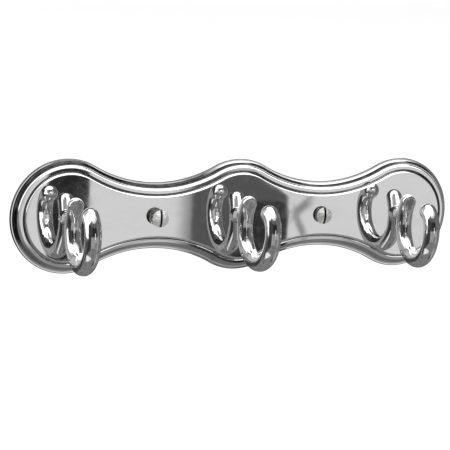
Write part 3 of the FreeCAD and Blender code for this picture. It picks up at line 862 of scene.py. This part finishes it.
def new_material(name):
    """A material, its empty tree and the place in the object's own space."""
    material = bpy.data.materials.new(name)
    tree = Tree(material)
    return material, tree, tree.node("ShaderNodeTexCoord").outputs["Object"]


def grey(level):
    return (level, level, level, 1.0)


def rim_painted_shade(tree, place):
    """How much of the rim's shine is left, from 0 to 1: painted shade darkens bands of it unevenly, standing
    in for shade and darker reflections.
    """
    across, _, upwards = tree.node("ShaderNodeSeparateXYZ", {0: place}).outputs
    inset = tree.node("ShaderNodeAttribute", attribute_name="inset").outputs["Fac"]
    right_half = tree.smooth(across, *RIGHT_HALF)
    right_end = tree.smooth(across, *RIGHT_END)
    lower_edge = tree.smooth(tree.math("MULTIPLY", upwards, -1.0), *LOWER_EDGE)
    noise = tree.noise(place, scale=260.0, detail=3.0, roughness=0.6)
    blotches = tree.smooth(noise, 0.3, 0.6, to_low=0.96)
    unshaded = 1.0
    for start, end, share, *others in PAINTED_SHADE_BANDS:
        inside = tree.math("MULTIPLY", tree.smooth(inset, start - BAND_EDGE, start + BAND_EDGE),
                           tree.smooth(inset, end - BAND_EDGE, end + BAND_EDGE, to_low=1.0, to_high=0.0))
        for where, other in zip((right_half, right_end, lower_edge), others):
            change = tree.math("MULTIPLY", where, tree.math("SUBTRACT", other, share))
            share = tree.math("ADD", share, change)
        taken = tree.math("MULTIPLY", tree.math("MULTIPLY", inside, share), blotches)
        unshaded = tree.math("MULTIPLY", unshaded, tree.math("SUBTRACT", 1.0, taken))
    return unshaded


def polished_metal(name, colour, dull_colour, roughness, smudge, wave, marks, mark_scale, painted_rim_shade=False,
                   wave_scale=45.0, metallic=1.0):
    """Plated, polished metal: faint smears, fine polishing lines and a slightly wavy face."""
    material, tree, place = new_material(name)
    smears = tree.noise(tree.stretched(place, (60, 60, 140)), scale=1.0, detail=4.0, roughness=0.6)
    patches = tree.smooth(smears, 0.42, 0.72)
    lines = tree.noise(tree.stretched(place, mark_scale), scale=1.0, detail=2.0, roughness=0.5)
    rough = tree.math("ADD", tree.math("MULTIPLY_ADD", patches, smudge, roughness),
                      tree.math("MULTIPLY", lines, smudge / 2))
    swell = tree.noise(place, wave_scale, detail=1.0, roughness=0.3)
    wavy = tree.node("ShaderNodeBump", {"Strength": 1.0, "Distance": wave, "Height": swell})
    lined = tree.node("ShaderNodeBump", {"Strength": 1.0, "Distance": marks, "Height": lines,
                                         "Normal": wavy.outputs[0]})
    surface = tree.mix_colour(patches, colour, dull_colour)
    # painted shade: the rim's bands are mixed towards black
    if painted_rim_shade:
        surface = tree.mix_colour(rim_painted_shade(tree, place), grey(0.0), surface)
    shader = tree.node("ShaderNodeBsdfPrincipled", {
        "Base Color": surface,
        "Metallic": metallic,
        "Roughness": rough,
        "Normal": lined.outputs[0],
    })
    tree.node("ShaderNodeOutputMaterial", {"Surface": shader.outputs[0]})
    return material


def cast_metal(name):
    """Plated but unpolished back of the casting: grainy, dull and a little stained."""
    material, tree, place = new_material(name)
    grain = tree.noise(place, scale=1800.0, detail=4.0, roughness=0.65)
    flow = tree.noise(place, scale=90.0, detail=3.0, roughness=0.55)
    stain = tree.smooth(flow, 0.4, 0.7)
    bump = tree.node("ShaderNodeBump", {"Strength": 0.6, "Distance": 0.00012, "Height": grain})
    shader = tree.node("ShaderNodeBsdfPrincipled", {
        "Base Color": tree.mix_colour(stain, (0.52, 0.52, 0.53, 1), (0.36, 0.36, 0.37, 1)),
        "Metallic": 1.0,
        "Roughness": tree.smooth(grain, 0.3, 0.7, to_low=0.34, to_high=0.55),
        "Normal": bump.outputs[0],
    })
    tree.node("ShaderNodeOutputMaterial", {"Surface": shader.outputs[0]})
    return material


# ---- studio

CAMERA_PLACE = (-0.4121, -0.9468, 0.1805)
CAMERA_YAW = 23.2
CAMERA_PITCH = 10.26
CAMERA_ROLL = 3.44
LENS = 157.5
SENSOR = 36.0
NEAREST = 0.05
FARTHEST = 40.0


def make_camera():
    """The camera, turned by its yaw, pitch and roll in degrees."""
    yaw, pitch, roll = (math.radians(a) for a in (CAMERA_YAW, CAMERA_PITCH, CAMERA_ROLL))
    forward = Vector((math.sin(yaw) * math.cos(pitch), math.cos(yaw) * math.cos(pitch), -math.sin(pitch)))
    level = Vector((math.cos(yaw), -math.sin(yaw), 0))
    above = level.cross(forward)
    right = level * math.cos(roll) + above * math.sin(roll)
    up = above * math.cos(roll) - level * math.sin(roll)
    data = bpy.data.cameras.new("camera")
    data.lens = LENS
    data.sensor_width = SENSOR
    data.clip_start, data.clip_end = NEAREST, FARTHEST
    camera = add_object("camera", data)
    turn = Matrix((right, up, -forward)).transposed()
    camera.matrix_world = Matrix.Translation(CAMERA_PLACE) @ turn.to_4x4()
    bpy.context.scene.camera = camera


# What the polished metal reflects: cards on two far domes, painted over each other in this order.
# The plate, screws and washers see one dome and the hooks the other, as if each had its own cards.
# A card has the azimuth of its middle (0 in front, 90 on the right), its half width, its lowest and
# highest elevation at the middle, how much it climbs per degree of azimuth, its light level, the
# softness of its edges and how broken up it is; all angles are in degrees.
PLATE_BASE = 0.27
PLATE_CARDS = (
    (90, 90, -90, -48, 0.0, 0.32, 20, 0.0),
    (-115, 65, -75, 4, 0.0, 0.17, 10, 0.5),
    (-115, 65, 2, 66, 0.0, 1.6, 8, 0.1),
    (-35, 28, -70, -18, 0.0, 0.22, 10, 0.3),
    (-48, 24, -4, 40, 0.0, 0.4, 8, 0.3),
    (-15, 22, -14, 45, 0.0, 0.6, 8, 0.2),
    (90, 57, -16, 44, 0.0, 0.22, 8, 0.1),
    (88, 24, 22, 56, 0.0, 0.05, 6, 0.0),
    (0, 180, 54, 91, 0.0, 1.5, 5, 0.0),
    (150, 32, 6, 62, 0.0, 1.8, 6, 0.0),
    (21, 30, -1, 26, 0.0, 0.85, 4, 0.0),
    (21, 32, 19, 64, 0.0, 2.6, 6, 0.0),
    (23.5, 9, -15, -6, 0.0, 0.7, 1.0, 0.0),
)
HOOK_BASE = 0.24
HOOK_CARDS = (
    (0, 180, 57, 91, 0.0, 2.4, 7, 0.0),
    (30, 55, 48, 62, 0.0, 0.9, 5, 0.0),
    (-15, 75, 30, 50, 0.0, 0.14, 8, 0.3),
    (-28, 62, -32, 34, 0.0, 0.05, 8, 0.3),
    (0, 31, -2, 30, 0.0, 0.025, 5, 0.3),
    (95, 62, -10, 44, 0.0, 0.18, 10, 0.1),
    (-105, 17, -8, 62, 0.0, 2.2, 4, 0.0),
    (-135, 15, -8, 12, 0.0, 2.0, 4, 0.0),
    (-140, 20, 12, 54, 0.0, 0.55, 8, 0.0),
    (-82, 10, 32, 62, 0.0, 2.0, 4, 0.0),
    (-66, 9, 44, 62, 0.0, 2.0, 4, 0.0),
    (143, 7, -2, 50, 0.0, 0.9, 3, 0.0),
    (8, 52, -31, -1, 0.0, 0.45, 6, 0.5),
    (9, 3.5, -6, 11, 0.0, 1.4, 1.5, 0.2),
    (-95, 30, -32, -11, 0.0, 0.04, 5, 0.4),
    (-60, 44, -62, -46, -0.35, 1.1, 5, 0.3),
    (0, 180, -91, -62, 0.0, 0.24, 8, 0.0),
    (60, 18, -76, -60, 0.0, 0.08, 6, 0.4),
    (75, 22, -58, -38, 0.0, 0.44, 8, 0.1),
    (24, 16, -29, -15, 0.0, 0.24, 4, 0.0),
    (157, 26, -16, 14, 0.0, 0.02, 5, 0.0),
    (-163, 20, -22, 36, 0.0, 0.03, 8, 0.2),
    (180, 34, 8, 56, 0.0, 0.1, 6, 0.2),
    (180, 42, -28, -8, 0.0, 0.06, 10, 0.3),
)
# upright streaks on the hooks' dome: how wide and tall they are in degrees, and how strong
HOOK_STREAKS = ((9.0, 33.0, 0.28), (1.2, 5.0, 0.55))
# Dark things a little way off, mirrored in the plate's flat field: azimuth, elevation, half width,
# half height, climb per degree of azimuth, level, softness as a share of the size, how broken up.
PATCHES = (
    (18.52, -10.1, 0.62, 1.5, 0.06, 0.02, 0.04, 0.5),
    (22.35, -10.1, 0.45, 1.6, 0.06, 0.3, 0.6, 0.5),
    (23.6, -10.1, 1.42, 1.45, 0.06, 0.09, 0.05, 0.3),
    (24.25, -10.5, 0.8, 1.0, 0.06, 0.03, 0.05, 0.5),
    (24.95, -8.77, 1.1, 0.48, -0.61, 0.68, 0.03, 0.0),
    (25.45, -9.6, 0.26, 0.17, 0.95, 0.26, 0.7, 0.6),
    (25.42, -10.15, 0.19, 0.22, -1.9, 0.28, 0.7, 0.6),
)
# how square a patch's corners are: 2 is an ellipse
PATCH_POWER = 6.0
# how much lighter the specks are on a patch that is wholly broken up
PATCH_SPECKLE = 0.12

# in metres and watts
PLATE_DOME_RADIUS = 300.0
HOOK_DOME_RADIUS = 270.0
FLOOR_DROP = 0.35
FLOOR_REACH = 14.0
SOFTBOX_SIZE = 3.0
SOFTBOX_PLACE = (0.0, -0.5, 3.0)
SOFTBOX_POWER = 25.0
WORLD_STRENGTH = 1.15


def within(tree, value, low, high, soft):
    """1 between two values and 0 outside them, with edges this soft."""
    above = tree.smooth(value, low - soft / 2, low + soft / 2)
    below = tree.smooth(value, high - soft / 2, high + soft / 2, to_low=1.0, to_high=0.0)
    return tree.math("MULTIPLY", above, below)


def card_light(tree, way, azimuth, elevation, base, cards):
    """Light of the cards, painted over each other."""
    grain = tree.noise(way, scale=14.0, detail=4.0, roughness=0.7)
    light = grey(base)
    for middle, half, low, high, climb, level, soft, texture in cards:
        offset = tree.math("WRAP", tree.math("SUBTRACT", azimuth, middle), 180.0, -180.0)
        raised = tree.math("SUBTRACT", elevation, tree.math("MULTIPLY", offset, climb))
        sideways = tree.smooth(tree.math("ABSOLUTE", offset), half - soft / 2, half + soft / 2,
                               to_low=1.0, to_high=0.0)
        cover = tree.math("MULTIPLY", sideways, within(tree, raised, low, high, soft))
        if texture:
            broken = tree.smooth(grain, 0.3, 0.6, to_low=1.0 - texture)
            cover = tree.math("MULTIPLY", cover, broken)
        light = tree.mix_colour(cover, light, grey(level))
    return light


def streaked(tree, light, azimuth, elevation, streaks):
    """The light, made uneven by streaks."""
    for wide, tall, strength in streaks:
        across = tree.math("MULTIPLY", azimuth, 1 / wide)
        upwards = tree.math("MULTIPLY", elevation, 1 / tall)
        run = tree.node("ShaderNodeCombineXYZ", {0: across, 1: upwards}).outputs[0]
        noise = tree.noise(run, scale=1.0, detail=3.0, roughness=0.6)
        shade = tree.smooth(noise, 0.36, 0.62, to_low=1.0 - strength, to_high=1.0 + strength / 2)
        light = tree.node("ShaderNodeVectorMath", {0: light, 3: shade}, operation="SCALE").outputs[0]
    return light


def patched(tree, light, way, azimuth, elevation, patches):
    """The light, with dark patches in front of it."""
    grain = tree.noise(way, scale=260.0, detail=4.0, roughness=0.7)
    for middle, height, half, tall, climb, level, soft, texture in patches:
        offset = tree.math("SUBTRACT", azimuth, middle)
        raised = tree.math("SUBTRACT", tree.math("SUBTRACT", elevation, height),
                           tree.math("MULTIPLY", offset, climb))
        shares = [tree.math("POWER", tree.math("ABSOLUTE", tree.math("DIVIDE", distance, size)), PATCH_POWER)
                  for distance, size in ((offset, half), (raised, tall))]
        reach = tree.math("POWER", tree.math("ADD", *shares), 1 / PATCH_POWER)
        cover = tree.smooth(reach, 1.0 - soft, 1.0 + soft, to_low=1.0, to_high=0.0)
        speckle = tree.smooth(grain, 0.45, 0.75, to_low=level, to_high=level + texture * PATCH_SPECKLE)
        dark = tree.node("ShaderNodeCombineColor", {0: speckle, 1: speckle, 2: speckle}).outputs[0]
        light = tree.mix_colour(cover, light, dark)
    return light


def dome_material(name, base, cards, patches=(), streaks=()):
    """Glow of a dome that is otherwise clear: its cards, their streaks, then its dark patches."""
    material, tree, place = new_material(name)
    way = tree.node("ShaderNodeVectorMath", {0: place}, operation="NORMALIZE").outputs[0]
    across, inwards, upwards = tree.node("ShaderNodeSeparateXYZ", {0: way}).outputs
    azimuth = tree.math("DEGREES", tree.math("ARCTAN2", across, tree.math("MULTIPLY", inwards, -1.0)))
    elevation = tree.math("DEGREES", tree.math("ARCSINE", upwards))
    light = card_light(tree, way, azimuth, elevation, base, cards)
    light = streaked(tree, light, azimuth, elevation, streaks)
    light = patched(tree, light, way, azimuth, elevation, patches)
    glow = tree.node("ShaderNodeEmission", {"Color": light, "Strength": 1.0})
    clear = tree.node("ShaderNodeBsdfTransparent")
    both = tree.node("ShaderNodeAddShader", {0: glow.outputs[0], 1: clear.outputs[0]})
    tree.node("ShaderNodeOutputMaterial", {"Surface": both.outputs[0]})
    return material


def floor_material():
    """Matt, nearly white floor, a little cloudy."""
    material, tree, place = new_material("studio_floor")
    cloud = tree.noise(place, scale=1.5, detail=2.0, roughness=0.5)
    shader = tree.node("ShaderNodeBsdfPrincipled", {
        "Base Color": tree.mix_colour(cloud, grey(0.94), grey(0.96)),
        "Roughness": 0.8,
    })
    tree.node("ShaderNodeOutputMaterial", {"Surface": shader.outputs[0]})
    return material


def add_stage(name, mesh, material):
    """Put a mesh in the scene as part of the studio."""
    mesh.materials.append(material)
    item = add_object(name, mesh)
    return item


def make_floor():
    """Pale floor under the rack, which reflections do not see."""
    mesh = bpy.data.meshes.new("floor")
    height = cad_bounds[0].z - FLOOR_DROP
    corners = [(x * FLOOR_REACH, y * FLOOR_REACH, height) for x, y in ((-1, -1), (1, -1), (1, 1), (-1, 1))]
    mesh.from_pydata(corners, [], [(0, 1, 2, 3)])
    floor = add_stage("floor", mesh, floor_material())
    floor.visible_glossy = False


def make_dome(name, radius, material, lit):
    """A dome of cards that only the reflections in the lit pieces see."""
    mesh = bpy.data.meshes.new(name)
    ball = bmesh.new()
    bmesh.ops.create_icosphere(ball, subdivisions=4, radius=radius)
    ball.to_mesh(mesh)
    ball.free()
    dome = add_stage(name, mesh, material)
    dome.visible_camera = False
    dome.visible_diffuse = False
    dome.visible_shadow = False
    receivers = bpy.data.collections.new(f"{name}_receivers")
    for piece in lit:
        receivers.objects.link(piece)
    dome.light_linking.receiver_collection = receivers


def make_softbox():
    """Soft light from above for the floor; the domes stand for it in the metal."""
    data = bpy.data.lights.new("softbox", "AREA")
    data.shape = "SQUARE"
    data.size = SOFTBOX_SIZE
    data.energy = SOFTBOX_POWER
    softbox = add_object("softbox", data)
    softbox.location = SOFTBOX_PLACE
    softbox.visible_glossy = False


def make_world():
    """Even white all round, which reflections do not see."""
    world = bpy.data.worlds.new("studio")
    bpy.context.scene.world = world
    tree = Tree(world)
    glow = tree.node("ShaderNodeBackground", {"Color": grey(1.0), "Strength": WORLD_STRENGTH})
    tree.node("ShaderNodeOutputWorld", {"Surface": glow.outputs[0]})
    world.cycles_visibility.glossy = False


def make_rack():
    """All the pieces; returns those that mirror the plate's dome and those that mirror the hooks'."""
    # the plate's chrome carries painted shade on bands of its rim
    chrome = polished_metal("plate_chrome", grey(0.88), grey(0.84), roughness=0.012, smudge=0.012,
                            wave=2e-6, marks=1e-7, mark_scale=(400, 400, 2600), painted_rim_shade=True)
    rod_chrome = polished_metal("hook_chrome", grey(0.88), grey(0.84), roughness=0.02, smudge=0.02,
                                wave=5e-5, marks=2e-7, mark_scale=(2600, 300, 300), wave_scale=190.0)
    nickel = polished_metal("wall_screw_nickel", (0.64, 0.635, 0.63, 1), (0.42, 0.415, 0.41, 1),
                            roughness=0.3, smudge=0.1, wave=1e-5, marks=6e-4, mark_scale=(900, 700, 800),
                            metallic=0.6)
    zinc = polished_metal("fixing_zinc", (0.62, 0.63, 0.64, 1), (0.48, 0.49, 0.5, 1), roughness=0.28,
                          smudge=0.15, wave=6e-6, marks=5e-6, mark_scale=(2500, 900, 2500))
    # nearly black: painted shade in the wall screws' slots and on the cones under their heads, whose mirror
    # images in the plate come out dark
    painted_shade_metal = polished_metal("wall_screw_painted_shade", grey(0.1), grey(0.05), roughness=0.35, smudge=0.1,
                                wave=4e-6, marks=2e-6, mark_scale=(3000, 800, 3000))
    plate = make_plate([chrome, cast_metal("plate_back_casting")])
    hooks = make_hooks(rod_chrome)
    wall_screws = make_wall_screws([nickel, painted_shade_metal])
    fixings = make_hook_fixings(zinc)
    return [plate] + wall_screws + fixings, hooks


def make_studio(plate_side, hooks):
    """Camera, floor, lights and the two domes of cards."""
    bpy.context.scene.view_settings.view_transform = "Standard"
    plate_glow = dome_material("plate_cards", PLATE_BASE, PLATE_CARDS, patches=PATCHES)
    hook_glow = dome_material("hook_cards", HOOK_BASE, HOOK_CARDS, streaks=HOOK_STREAKS)
    make_camera()
    make_floor()
    make_dome("plate_cards", PLATE_DOME_RADIUS, plate_glow, plate_side)
    make_dome("hook_cards", HOOK_DOME_RADIUS, hook_glow, hooks)
    make_softbox()
    make_world()


make_studio(*make_rack())
